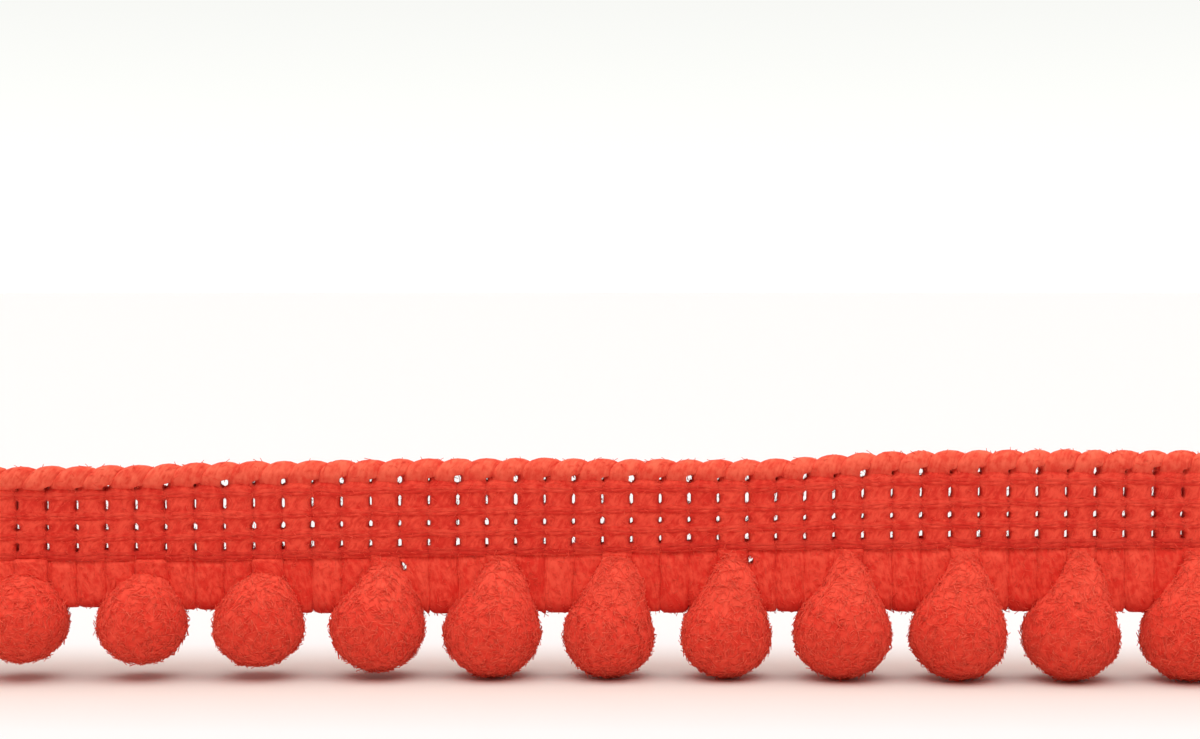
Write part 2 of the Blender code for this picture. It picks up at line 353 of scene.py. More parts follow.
class Surface(Tree):
    """A material under construction."""

    def __init__(self, name: str) -> None:
        """Starts a material.

        Args:
            name: the material's name.
        """
        self.material = bpy.data.materials.new(name)
        self.material.use_nodes = True
        super().__init__(self.material.node_tree)
        self.place = in_use(self.add("ShaderNodeTexCoord").outputs, "Object")

    def carried(self, name: str) -> Number:
        """A number that the mesh carries at each point."""
        return self.number(self.add("ShaderNodeAttribute", {"attribute_name": name}), "Fac")

    def finish(self, colour: Socket, relief: Number, strength: float, depth: float, **shine: Any) -> Material:
        """Ends the tree in a shader.

        Args:
            colour: its base colour.
            relief: the height that its bumps follow.
            strength: how strong the bumps are.
            depth: how deep the bumps are, in millimetres.
            shine: the shader's other values, with underscores for spaces.

        Returns:
            The material.
        """
        normal = self.made("ShaderNodeBump", Strength=strength, Distance=depth * MM, Height=relief)
        shader = self.made("ShaderNodeBsdfPrincipled", Base_Color=colour, Normal=normal, **shine)
        self.add("ShaderNodeOutputMaterial", Surface=shader)
        return self.material


# ----- Finishes -----


@dataclass(frozen=True)
class YarnFinish:
    """A soft matte yarn: streaks of fibre along it, with painted shade where its points carry it."""

    name: str
    deep: Colour
    bright: Colour
    hollow: Colour
    streaks: float = 9.0
    stretch: float = 0.16
    mottle: float = 2600.0
    relief: float = 0.09

    @lru_cache(maxsize=None)
    def material(self) -> Material:
        """Makes the material once, for points that carry their place in the yarn, its tone and its painted
        shading.

        Returns:
            The material.
        """
        t = Surface(self.name)
        lay = in_use(t.add("ShaderNodeAttribute", {"attribute_name": "lay"}).outputs, "Vector")
        streak = t.mottle(t.vector("MULTIPLY", lay, (1.0, 1.0, self.stretch)), self.streaks, roughness=0.6)
        patch = t.mottle(t.place, self.mottle)
        own = (t.carried("shade") + t.carried("own_tone")) * 0.25
        tone = ((streak - 0.5) * 2.2 + (patch - 0.5) * 2.6 + own + 0.5).clamped()
        # painted shade: the points' painted shading and the chains' dim share mix in the shade colour
        shaded_share = (t.carried("shelter") + t.carried("dim")).clamped()
        colour = t.mixed(shaded_share, t.mixed(tone, self.deep, self.bright), self.hollow)
        sheen = {"Sheen_Weight": 0.15, "Sheen_Roughness": 0.45, "Sheen_Tint": (1.0, 0.55, 0.42, 1.0)}
        return t.finish(colour, streak, 0.7, self.relief, Roughness=0.88, Specular_IOR_Level=0.25, **sheen)


@dataclass(frozen=True)
class FibreFinish:
    """Loose fibres and felt: darker at their roots, lighter towards their tips."""

    name: str
    root: Colour
    tip: Colour
    pale: Colour
    mottle: float = 2700.0

    @lru_cache(maxsize=None)
    def material(self) -> Material:
        """Makes the material once, for points that carry their place along a fibre, its tone and its painted
        shading.

        Returns:
            The material.
        """
        t = Surface(self.name)
        tip, shade = t.carried("tip"), t.carried("shade")
        patch = t.mottle(t.place, self.mottle, roughness=0.6)
        # painted shading carried up from the surface: darker in its painted shade, lighter on a pompom's
        # painted top light
        climb = (tip * 0.5 + (patch - 0.5) * 1.9 + 0.35 - t.carried("shelter")).clamped()
        light = (shade * shade * shade * tip * 0.9).clamped()
        colour = t.mixed(light, t.mixed(climb, self.root, self.tip), self.pale)
        sheen = {"Sheen_Weight": 0.15, "Sheen_Roughness": 0.5, "Sheen_Tint": (1.0, 0.5, 0.38, 1.0)}
        return t.finish(colour, patch, 0.5, 0.05, Roughness=0.95, Specular_IOR_Level=0.2, **sheen)


@dataclass(frozen=True)
class PaperFinish:
    """The plain white paper that the trim stands on, with a painted shadow, darker and warmer, in a strip
    under the trim.
    """

    name: str = "white_paper"
    white: Colour = (0.90, 0.93, 0.95)
    cream: Colour = (0.81, 0.77, 0.73)

    def material(self) -> Material:
        """Makes the material, with a very fine tooth.

        Returns:
            The material.
        """
        t = Surface(self.name)
        y = t.axis(t.place, "Y")
        # painted shadow under the trim: whole from 4.0 mm in front of the trim's middle to 4.6 mm behind it,
        # gone by 15.1 mm and 12.3 mm
        near = (1.6 - y * 130.0).clamped() * (1.36 + y * 90.0).clamped()
        tooth = t.mottle(t.place, 900.0, 2.0)
        paper = t.mixed(near, self.white, self.cream)
        return t.finish(paper, tooth, 0.05, 0.02, Roughness=0.7, Specular_IOR_Level=0.25)


WEFT_YARN = YarnFinish("braid_weft_yarn", (0.72, 0.031, 0.017), (0.92, 0.087, 0.048), (0.56, 0.018, 0.011))
CHAIN_YARN = YarnFinish(
    "braid_chain_yarn", (0.71, 0.030, 0.016), (0.90, 0.085, 0.047), (0.54, 0.016, 0.010), streaks=11.0
)
# painted top light: the edge strands are the braid's own yarn painted lighter and more orange, as the lit top
# edge
TOP_LIT_EDGE_YARN = YarnFinish(
    "braid_edge_yarn", (0.82, 0.068, 0.036), (0.97, 0.162, 0.088), (0.68, 0.035, 0.020), 7.0, relief=0.08
)
LOOP_YARN = YarnFinish("fringe_loop_yarn", (0.79, 0.036, 0.020), (0.97, 0.103, 0.058), (0.63, 0.019, 0.011))
FUZZ = FibreFinish("yarn_fuzz", (0.78, 0.044, 0.025), (0.92, 0.093, 0.051), (0.97, 0.15, 0.09))
FELT = FibreFinish("pompom_felt_pile", (0.80, 0.046, 0.026), (0.95, 0.114, 0.066), (0.98, 0.18, 0.105))


# ----- Meshes -----


class Spot(NamedTuple):
    """One point of a tube's ring."""

    place: Vector
    lay: Vector  # its place in the yarn
    shelter: float  # painted shade: how far it is darkened, up to 1; painted light, lighter, below 0


class Tube(NamedTuple):
    """A tube with closed ends."""

    rings: list[list[Spot]]  # from end to end, all of one count
    shade: float  # the tube's own tone, from -1 to 1


def wound(twist: float, along: float, wander: float) -> Vector:
    """A place on the skin of a thick yarn, in a part of the yarn that is the tube's own."""
    return Vector((0.7 * math.cos(twist) + wander, 0.7 * math.sin(twist), along + wander))


def carry(mesh: Mesh, name: str, values: list[float]) -> None:
    """Gives each point of a mesh a number under a name, or three numbers that make a vector."""
    kind, key = ("FLOAT", "value") if len(values) == len(mesh.vertices) else ("FLOAT_VECTOR", "vector")
    mesh.attributes.new(name, kind, "POINT").data.foreach_set(key, values)


def skein(name: str, tubes: list[Tube]) -> Mesh:
    """Gathers tubes into one mesh, with its faces outwards and what its points carry.

    Args:
        name: the mesh's name.
        tubes: the tubes.

    Returns:
        The mesh, in millimetres.
    """
    spots, shades, faces = [], [], []
    for rings, shade in tubes:
        first, sides = len(spots), len(rings[0])
        last = first + (len(rings) - 1) * sides
        for ring in rings:
            spots.extend(ring)
            shades.extend([shade] * sides)
        for low in range(first, last, sides):
            for i in range(sides):
                j = (i + 1) % sides
                faces.append((low + i, low + j, low + sides + j, low + sides + i))
        faces.append(tuple(range(first + sides - 1, first - 1, -1)))
        faces.append(tuple(range(last, last + sides)))
    mesh = bpy.data.meshes.new(name)
    mesh.from_pydata([spot.place for spot in spots], [], faces)
    work = bmesh.new()
    work.from_mesh(mesh)
    bmesh.ops.recalc_face_normals(work, faces=work.faces)
    work.to_mesh(mesh)
    work.free()
    carry(mesh, "lay", [c for spot in spots for c in spot.lay])
    carry(mesh, "shade", shades)
    carry(mesh, "shelter", [spot.shelter for spot in spots])
    mesh.shade_smooth()
    return mesh


def piece(name: str, mesh: Mesh, material: Material) -> Object:
    """Makes a finished object of a mesh that is in millimetres.

    Args:
        name: the object's name.
        mesh: its mesh.
        material: what it is made of.

    Returns:
        The object, in metres, at the origin.
    """
    mesh.transform(Matrix.Scale(MM, 4))
    mesh.materials.clear()
    mesh.materials.append(material)
    obj = bpy.data.objects.new(name, mesh)
    bpy.context.scene.collection.objects.link(obj)
    return obj


def spun(name: str, finish: YarnFinish, tubes: list[Tube]) -> Object:
    """A finished object made of tubes of yarn."""
    return piece(name, skein(name, tubes), finish.material())


def settle(obj: Object, slot: str, *nodes: str) -> None:
    """Enters a finished piece in the frame.

    Args:
        obj: the piece.
        slot: the record's material slot for it; not used.
        nodes: the CAD nodes that it stands for.
    """
    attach(obj, "root")
    if nodes:
        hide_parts(*nodes)
    triangles = sum(p.loop_total - 2 for p in obj.data.polygons)
    LOG.info("%s: %d faces, %d triangles", obj.name, len(obj.data.polygons), triangles)


# ----- Geometry Nodes -----


class NodeWork(Tree):
    """A Geometry Nodes tree with named inputs, run once on a mesh and turned into a plain mesh."""

    def __init__(self, name: str) -> None:
        """Starts the tree with its geometry input and output.

        Args:
            name: the tree's name.
        """
        self.group = bpy.data.node_groups.new(name, "GeometryNodeTree")
        for direction in ("INPUT", "OUTPUT"):
            self.group.interface.new_socket("Geometry", in_out=direction, socket_type="NodeSocketGeometry")
        super().__init__(self.group)
        self.entry = self.add("NodeGroupInput")

    def input(self, name: str, kind: str) -> Socket:
        """Adds a named input of a kind, such as Float or Object, and gives its socket inside the tree."""
        self.group.interface.new_socket(name, in_out="INPUT", socket_type=f"NodeSocket{kind}")
        return self.entry.outputs[name]

    def noted(self, name: str, kind: str) -> Socket:
        """What each point carries under a name."""
        node = self.add("GeometryNodeInputNamedAttribute", {"data_type": kind}, Name=name)
        return in_use(node.outputs, "Attribute")

    def noting(self, geometry: Socket, name: str, value: Number) -> Socket:
        """A geometry whose points carry a number under a name from here on."""
        kind = {"data_type": "FLOAT", "domain": "POINT"}
        return self.made("GeometryNodeStoreNamedAttribute", kind, Geometry=geometry, Name=name, Value=value)

    def rotation(self, angles: Socket) -> Socket:
        """The rotation by three angles."""
        return self.made("FunctionNodeEulerToRotation", None, angles)

    def turned(self, rotation: Socket, angles: Socket) -> Socket:
        """A rotation, turned further about its own axes by three angles."""
        own = {"rotation_space": "LOCAL"}
        return self.made("FunctionNodeRotateRotation", own, rotation, self.rotation(angles))

    def close(self, geometry: Socket, material: Socket) -> None:
        """Ends the tree in Realize Instances, smooth shading and Set Material.

        Args:
            geometry: what the tree has made.
            material: the material's input.
        """
        real = self.made("GeometryNodeRealizeInstances", None, geometry)
        smooth = self.made("GeometryNodeSetShadeSmooth", None, real)
        dressed = self.made("GeometryNodeSetMaterial", Geometry=smooth, Material=material)
        self.add("NodeGroupOutput", Geometry=dressed)

    def run(self, mesh: Mesh, name: str, **values: Any) -> Mesh:
        """Runs the tree on a mesh.

        Args:
            mesh: what it starts from, in millimetres.
            name: the name of the result.
            values: its named inputs, in small letters with underscores for spaces.

        Returns:
            The result as a plain mesh.
        """
        obj = bpy.data.objects.new(f"{name}_work", mesh)
        bpy.context.scene.collection.objects.link(obj)
        modifier = obj.modifiers.new(self.group.name, "NODES")
        modifier.node_group = self.group
        sockets = {s.name: s.identifier for s in self.group.interface.items_tree if s.in_out == "INPUT"}
        for key, value in values.items():
            modifier[sockets[key.replace("_", " ").title()]] = value
        graph = bpy.context.evaluated_depsgraph_get()
        grown = obj.evaluated_get(graph)
        result = bpy.data.meshes.new_from_object(grown, preserve_all_data_layers=True, depsgraph=graph)
        result.name = name
        obj.modifiers.remove(modifier)
        bpy.data.objects.remove(obj, do_unlink=True)
        return result


@lru_cache(maxsize=None)
def stitch_tree() -> NodeWork:
    """Builds the tree that lays a stitch on every guide point, turned and sized by what the point carries.

    Returns:
        The tree, made once.
    """
    t = NodeWork("lay_stitches")
    stitch, material = t.input("Stitch", "Object"), t.input("Material", "Material")
    shape = t.add("GeometryNodeObjectInfo", {"transform_space": "ORIGINAL"}, Object=stitch)
    laid = t.made(
        "GeometryNodeInstanceOnPoints",
        Points=t.made("GeometryNodeMeshToPoints", Mesh=t.entry.outputs["Geometry"]),
        Instance=in_use(shape.outputs, "Geometry"),
        Rotation=t.rotation(t.noted("turn", "FLOAT_VECTOR")),
        Scale=t.noted("size", "FLOAT_VECTOR"),
    )
    t.close(laid, material)
    return t


@dataclass(frozen=True)
class Pile:
    """How the fibres of a surface grow. Angles are in radians; each spread goes both ways."""

    density: float  # how many to a square millimetre
    length: float
    length_spread: float
    thickness: float
    tilt: float  # how far they lie down from upright
    tilt_spread: float
    curl: float  # how far their tips drift
    swirl: float  # how quickly the drift changes from place to place

    def grow(self, mesh: Mesh, name: str, finish: FibreFinish, seed: int, keep_surface: bool) -> Object:
        """Grows fibres on a mesh that is in millimetres.

        Args:
            mesh: the surface.
            name: the finished piece's name.
            finish: what the fibres are made of.
            seed: where their places come from.
            keep_surface: whether the surface stays below them.

        Returns:
            The piece.
        """
        material = finish.material()
        inputs = {"seed": seed, "keep_surface": keep_surface, "material": material}
        return piece(name, pile_tree().run(mesh, name, **inputs, **asdict(self)), material)

    def nap(self, surfaces: tuple[Object, ...], name: str, seed: int) -> Object:
        """Grows loose fibres on finished pieces, as a piece of its own.

        Args:
            surfaces: the pieces that carry them.
            name: the new piece's name.
            seed: where their places come from.

        Returns:
            The piece.
        """
        work = bmesh.new()
        for surface in surfaces:
            work.from_mesh(surface.data)
        bmesh.ops.scale(work, vec=(1 / MM,) * 3, verts=work.verts)
        mesh = bpy.data.meshes.new(f"{name}_ground")
        work.to_mesh(mesh)
        work.free()
        return self.grow(mesh, name, FUZZ, seed, keep_surface=False)


@lru_cache(maxsize=None)
def pile_tree() -> NodeWork:
    """Builds the tree that grows curled, tapering fibres on a surface and keeps the surface if asked.

    Returns:
        The tree, made once.
    """
    t = NodeWork("grow_fibres")
    names = ("Density", "Length", "Length Spread", "Thickness", "Tilt", "Tilt Spread", "Curl", "Swirl")
    density, length, spread, thickness, tilt, tilt_spread, curl, swirl = (
        Number(t, t.input(name, "Float")) for name in names
    )
    seed = Number(t, t.input("Seed", "Int"))
    keep, material = t.input("Keep Surface", "Bool"), t.input("Material", "Material")
    surface = t.entry.outputs["Geometry"]

    def chance(low: float, high: float, salt: int) -> Number:
        """A random number for each fibre, other than those of another salt."""
        inputs = {"Min": low, "Max": high, "Seed": seed * 7.0 + float(salt)}
        return t.number(t.add("FunctionNodeRandomValue", {"data_type": "FLOAT"}, **inputs), "Value")

    random_places = {"distribute_method": "RANDOM"}
    scattered = t.add(
        "GeometryNodeDistributePointsOnFaces", random_places, Mesh=surface, Density=density, Seed=seed
    )
    twirled = t.turned(scattered.outputs["Rotation"], t.xyz(0.0, 0.0, chance(-math.pi, math.pi, 2)))
    size = length + chance(-1.0, 1.0, 4) * spread
    line = t.made("GeometryNodeCurvePrimitiveLine", Start=(0.0, 0.0, 0.0), End=(0.0, 0.0, 1.0))
    planted = t.made(
        "GeometryNodeInstanceOnPoints",
        Points=t.noting(scattered.outputs["Points"], "shade", chance(0.0, 1.0, 1)),
        Instance=t.made("GeometryNodeResampleCurve", Curve=line, Count=3),
        Rotation=t.turned(twirled, t.xyz(tilt + chance(-1.0, 1.0, 3) * tilt_spread, 0.0, 0.0)),
        Scale=t.xyz(size, size, size),
    )
    climb = t.number(t.add("GeometryNodeSplineParameter"), "Factor")
    stalks = t.noting(t.made("GeometryNodeRealizeInstances", Geometry=planted), "tip", climb)

    # Each fibre reads the drift at a place of its own, so that neighbours do not bend alike.
    tone = Number(t, t.noted("shade", "FLOAT"))
    own = t.scaled(t.xyz(tone * 40.0, tone * 23.0, seed * 3.1), 0.35)
    where = t.vector("ADD", t.scaled(t.made("GeometryNodeInputPosition"), swirl), own)
    drift = in_use(t.add("ShaderNodeTexNoise", Vector=where, Scale=1.0, Detail=1.0).outputs, "Color")
    sway = t.scaled(t.vector("SUBTRACT", drift, (0.5, 0.5, 0.5)), climb * climb * curl * 2.0)
    bent = t.made("GeometryNodeSetPosition", Geometry=stalks, Offset=sway)

    slim = t.made("GeometryNodeSetCurveRadius", Curve=bent, Radius=1.0 - climb * 0.8)
    outline = t.made("GeometryNodeCurvePrimitiveCircle", {"mode": "RADIUS"}, Resolution=3, Radius=thickness)
    swept = t.made("GeometryNodeCurveToMesh", Curve=slim, Profile_Curve=outline, Fill_Caps=True)
    kept = t.made("GeometryNodeSwitch", {"input_type": "GEOMETRY"}, Switch=keep, **{"True": surface})
    both = t.add("GeometryNodeJoinGeometry")
    for grown in (swept, kept):
        t.tree.links.new(grown, both.inputs[0])
    t.close(both.outputs[0], material)
    return t


# ----- The braid heading -----


class HoleRow(NamedTuple):
    """One lengthwise row of holes in the braid."""

    height: float
    tall: float
    wide: float
    odd_share: float  # how open the holes of odd columns are


class ChainRow(NamedTuple):
    """One lengthwise chain of stitches."""

    height: float
    forward: float
    plump: float
    dim: float  # how far it lies in the shade


class StrandSize(NamedTuple):
    """The sizes of every second strand on the top edge."""

    half_wide: float
    crown: float  # half its thickness at the very top
    face: float  # and on the two sides of the braid
    reach: float  # how far its middle lies from the braid's, to the front and the back
    shade: float


@dataclass
class BraidHeading:
    """The braid: weft bundles side by side, chains of stitches over both sides, strands over the top edge."""

    hang: Hang
    seed: int = 11
    half_depth: float = 0.68
    pinch: float = 0.08  # how much thinner a bundle is below a chain
    pinch_height: float = 0.26
    foot_taper: float = 0.10  # how much thinner it is at its very foot
    foot_height: float = 0.35
    overlap: float = 0.09  # how far neighbours reach into each other where they press together
    hole_edge: float = 0.18  # how far back from that a bundle's side is fully rounded
    least_tall: float = 0.75  # how tall a closed hole would be, as a share of an open one
    open_reach: float = 0.6  # the share of a hole's half height that is fully open
    bundle_sides: int = 20
    bundle_step: float = 0.115
    bundle_foot: float = -0.04
    bundle_top: float = 4.6
    closing: float = 3.95  # the height from which a bundle thins towards its top
    closing_height: float = 0.45
    ripple: float = 0.05  # how uneven its thickness is, as a share
    crease: float = 0.30  # painted shade: how much darker it is where it is pressed to its neighbour
    pressed: float = 0.32  # the power that squares a bundle's section where it is pressed to its neighbour
    rounded: float = 0.75  # and at a hole
    stitch_sides: int = 6
    stitch_segments: int = 6
    stitch_reach: float = 0.56  # half the length of a stitch, in courses, so that it laps over the next
    stitch_radius: float = 0.13  # of a leg at its ends
    stitch_swell: float = 0.03  # how much thicker it is in its middle
    wobble: float = 0.09  # how far a stitch may lean, in radians
    jitter: float = 0.04  # and lie too high or too low
    strand_sides: int = 16
    strand_segments: int = 22
    strand_start: float = -46.0  # the turn about the top edge at which a strand starts, in degrees
    strand_turn: float = 272.0  # and how far it goes
    strand_foot: float = 4.40  # the height about which it turns
    slant: float = 0.29  # how far its two sides lie from its column along the trim, in courses
    usual_pitch: float = 1.65  # the spacing of the courses that the strands' widths are meant for
    strands: tuple[StrandSize, StrandSize] = (
        StrandSize(0.88, 0.48, 0.30, 0.43, 0.6),
        StrandSize(0.95, 0.44, 0.28, 0.40, -0.2),
    )
    holes: tuple[HoleRow, ...] = (
        HoleRow(4.24, 0.50, 0.34, 0.28),
        HoleRow(3.08, 0.72, 0.165, 0.80),
        HoleRow(1.83, 0.46, 0.20, 0.95),
        HoleRow(0.68, 0.64, 0.175, 0.85),
    )
    chains: tuple[ChainRow, ...] = (
        ChainRow(3.69, 0.555, 1.0, 0.05),
        ChainRow(2.47, 0.56, 1.0, 0.0),
        ChainRow(1.28, 0.56, 0.95, 0.05),
        ChainRow(0.26, 0.45, 1.2, 0.35),
    )
    pile: Pile = Pile(2.9, 0.27, 0.13, 0.019, tilt=1.42, tilt_spread=0.15, curl=0.18, swirl=1.4)
    pile_seed: int = 5
    dice: random.Random = field(init=False)
    open_share: list[list[float]] = field(init=False)

    def __post_init__(self) -> None:
        """Draws how open each hole is."""
        self.dice = random.Random(self.seed)
        self.open_share = []
        for column in range(self.hang.courses + 1):
            odd = column % 2 == 1
            shares = [(row.odd_share if odd else 1.0) * self.dice.uniform(0.6, 1.15) for row in self.holes]
            self.open_share.append(shares)

    def gap(self, column: int, height: float) -> float:
        """Half the open width between two bundles; negative where they press together.

        Args:
            column: the column of holes.
            height: height above the groove, in the flat braid.

        Returns:
            The half width, in millimetres.
        """
        best = -self.overlap
        for row, share in zip(self.holes, self.open_share[column], strict=True):
            whole = row.tall / 2 * (self.least_tall + (1 - self.least_tall) * share) * self.open_reach
            into = clamp(1 - (abs(height - row.height) - whole) / whole)
            best = max(best, -self.overlap + (row.wide * share / 2 + self.overlap) * ease(into))
        return best

    def bulge(self, height: float) -> float:
        """Half the thickness of a bundle: pinched below the chains, puffed between them.

        Args:
            height: height above the groove, in the flat braid.

        Returns:
            The half thickness, in millimetres.
        """
        nip = sum(math.exp(-(((height - row.height) / self.pinch_height) ** 2)) for row in self.chains)
        foot = self.foot_taper * ease(1 - height / self.foot_height)
        return self.half_depth - self.pinch * clamp(nip) - foot

    def bundle(self, cell: int) -> Tube:
        """Makes one weft bundle, from its foot to its top.

        Args:
            cell: the course that it stands in.

        Returns:
            The bundle.
        """
        station = self.hang.station(cell + 0.5)
        shade, wander = self.dice.uniform(-1, 1), self.dice.uniform(0, 50)
        rings = []
        for step in range(round((self.bundle_top - self.bundle_foot) / self.bundle_step) + 1):
            height = self.bundle_foot + step * self.bundle_step
            close = 1 - 0.5 * ease((height - self.closing) / self.closing_height)
            gaps = (self.gap(cell, height), self.gap(cell + 1, height))
            wides = [station.pitch / 2 - gap for gap in gaps]
            ripple = 1 + self.ripple * noise.noise(Vector((wander, height * 1.6, cell)))
            deep = self.bulge(height) * ripple
            ring = []
            for angle, cos, sin in around(self.bundle_sides):
                right = cos > 0
                at_hole = clamp((gaps[right] + self.overlap) / self.hole_edge)
                square = self.pressed + (self.rounded - self.pressed) * at_hole
                across, forward = wides[right] * squared(cos, square), deep * squared(sin, square) * close
                # painted shade in the crease where the bundle presses on its neighbour, none at a hole
                shelter = self.crease * ease((abs(cos) - 0.80) / 0.20) * (1 - at_hole)
                lay = wound(angle + height * 0.5, height, wander)
                ring.append(Spot(station.braided(across, forward, height), lay, shelter))
            rings.append(ring)
        return Tube(rings, shade)

    def leg(self, side: int) -> Tube:
        """Makes one of the two plump legs of a stitch, which part in its middle and tuck in at both ends.

        Args:
            side: 1 for the upper leg, -1 for the lower.

        Returns:
            The leg, whose X is in courses.
        """
        rings = []
        for step in range(self.stitch_segments + 1):
            u = step / self.stitch_segments
            arch = math.sin(math.pi * u)
            sunk, apart = 0.045 - 0.055 * arch**0.55, 0.05 + 0.05 * arch**0.7
            middle = Vector((self.stitch_reach * (2 * u - 1), sunk, side * apart))
            radius = self.stitch_radius + self.stitch_swell * arch**0.6
            ring = []
            for angle, cos, sin in around(self.stitch_sides, 0.5):
                twist = angle + 2 * u
                lay = Vector((radius * math.cos(twist), radius * math.sin(twist) + side, 1.6 * u))
                place = middle + Vector((0, radius * cos, radius * sin))
                # painted shade where the leg tucks in at its ends
                ring.append(Spot(place, lay, 0.25 * (1 - arch) ** 1.5))
            rings.append(ring)
        # painted top light: the upper leg is lighter and the lower darker
        return Tube(rings, 0.3 * side)

    def guides(self) -> Mesh:
        """Makes the points that the stitches of both sides are laid on.

        Returns:
            A mesh of loose points that carry "turn", "size", "own_tone" and "dim".
        """
        spots, turns, sizes, tones, dims = [], [], [], [], []
        for side, row, cell in product(Side, self.chains, range(self.hang.courses)):
            station = self.hang.station(cell + 0.5)
            forward = side.value * row.forward
            spot = station.braided(0, forward, row.height)
            out = (station.braided(0, forward + side.value * 0.1, row.height) - spot).normalized()
            ahead = station.ahead * side.value
            up = out.cross(ahead)
            wobble = Matrix.Rotation(self.dice.uniform(-self.wobble, self.wobble), 3, "Y")
            turns.extend((Matrix((ahead, -out, up)).transposed() @ wobble).to_euler("XYZ"))
            spots.append(spot + up * self.dice.uniform(-self.jitter, self.jitter))
            plump = row.plump * self.dice.uniform(0.9, 1.1)
            sizes.extend((station.pitch, plump, plump * station.rise / self.hang.full_height))
            tones.append(self.dice.uniform(-1, 1))
            dims.append(row.dim)
        mesh = bpy.data.meshes.new("stitch_guides")
        mesh.from_pydata(spots, [], [])
        for name, values in (("turn", turns), ("size", sizes), ("own_tone", tones), ("dim", dims)):
            carry(mesh, name, values)
        return mesh

    def chain_stitches(self) -> Object:
        """Lays the chains on both sides.

        Returns:
            The piece.
        """
        shape = bpy.data.objects.new("stitch_shape", skein("stitch_shape", [self.leg(-1), self.leg(1)]))
        bpy.context.scene.collection.objects.link(shape)
        yarn = CHAIN_YARN.material()
        mesh = stitch_tree().run(self.guides(), "heading_chains", stitch=shape, material=yarn)
        bpy.data.objects.remove(shape, do_unlink=True)
        return piece("heading_chains", mesh, yarn)

    def strand_limits(self, crest: int, course: float, height: float) -> tuple[float, float]:
        """How far a strand may reach to each side: up to the braid's ends and the holes beside it.

        Args:
            crest: the strand's column.
            course: where the strand is.
            height: its height above the groove.

        Returns:
            The distances to the left, negative, and to the right.
        """
        here = self.hang.along(course)
        left, right = self.hang.along(0) - here, self.hang.along(self.hang.courses) - here
        for column in range(max(crest - 1, 0), min(crest + 1, self.hang.courses) + 1):
            open_half = self.gap(column, height)
            aside = self.hang.along(column) - here
            if open_half > 0 and aside > 0:
                right = min(right, aside - open_half)
            elif open_half > 0:
                left = max(left, aside + open_half)
        return left, right

    def strand(self, crest: int) -> Tube:
        """Makes the strand that turns over the top edge at one column.

        Args:
            crest: the column.

        Returns:
            The strand, from the front to the back.
        """
        size = self.strands[crest % 2]
        half_wide = size.half_wide * self.dice.uniform(0.97, 1.03)
        lift, wander = self.dice.uniform(-0.02, 0.02), self.dice.uniform(0, 50)
        rings = []
        for step in range(self.strand_segments + 1):
            turn = math.radians(self.strand_start + self.strand_turn * step / self.strand_segments)
            swing = clamp(turn, 0, math.pi)
            below = min(turn, 0) - max(turn - math.pi, 0)
            over = math.sin(swing)
            out = Vector((math.cos(swing), over))
            half_thick = size.face + (size.crown - size.face) * over**1.5
            forward = size.reach * math.cos(swing) * (1 + 0.5 * below)
            climb = self.hang.full_height - size.crown - self.strand_foot
            height = self.strand_foot + lift + climb * over + 0.62 * below
            aside = (0.10 * below - self.slant) * math.cos(swing)
            course = clamp(crest + aside, 0.02, self.hang.courses - 0.02)
            left, right = self.strand_limits(crest, course, height)
            station = self.hang.station(round(course, 4))
            end = math.sin(math.pi * clamp(step / self.strand_segments, 0.03, 0.97))
            flat = 0.66 + 0.34 * over
            ring = []
            for _, cos, sin in around(self.strand_sides):
                across = half_wide * end**0.1 * squared(cos, flat) * station.pitch / self.usual_pitch
                across = clamp(across, left, right)
                thick = half_thick * end**0.4 * squared(sin, flat) + 0.05 * across * (1 - over)
                place = station.braided(across, forward + out.x * thick, height + out.y * thick)
                lay = Vector((half_wide * cos * 0.9 + wander, half_thick * sin, turn * 0.8 + wander))
                # painted shade at the seams between strands, and down the braid's sides away from the lit top
                shelter = clamp(0.15 * ease((abs(cos) - 0.85) / 0.15) + 0.35 * (1 - over) ** 2)
                ring.append(Spot(place, lay, shelter))
            rings.append(ring)
        return Tube(rings, size.shade)

    def build(self) -> None:
        """Makes and enters the heading's pieces."""
        courses = self.hang.courses
        weft = spun("heading_weft", WEFT_YARN, [self.bundle(cell) for cell in range(courses)])
        chains = self.chain_stitches()
        edge = spun("heading_edge_strands", TOP_LIT_EDGE_YARN, [self.strand(crest) for crest in range(courses + 1)])
        settle(weft, "braid_yarn", "heading_braid")
        settle(chains, "braid_yarn")
        settle(edge, "braid_yarn")
        settle(self.pile.nap((weft, chains, edge), "heading_fuzz", self.pile_seed), "braid_yarn")


# ----- The pompoms -----


class Ball(NamedTuple):
    """One pompom's felted ball."""

    width: float
    aside: float  # of the ball's middle from its neck
    lift: float  # of its flat spot above the floor; the first few hang clear of it
    drawn: float  # the height from which the pile runs down to the ball


BALLS = (
    Ball(5.11, -0.35, 1.00, 5.95),
    Ball(5.22, -0.49, 0.92, 5.90),
    Ball(5.06, -0.47, 0.81, 5.85),
    Ball(5.23, -0.56, 0.61, 5.90),
    Ball(5.38, -0.42, 0.32, 6.05),
    Ball(5.50, -0.49, 0.0, 6.25),
    Ball(5.22, -0.45, 0.0, 6.60),
    Ball(5.12, -0.38, 0.0, 6.30),
    Ball(5.53, -0.36, 0.0, 6.15),
    Ball(5.53, -0.36, 0.0, 6.30),
    Ball(5.40, -0.57, 0.0, 6.35),
    Ball(5.42, -0.51, 0.0, 6.35),
    Ball(5.37, -0.45, 0.0, 6.30),
)


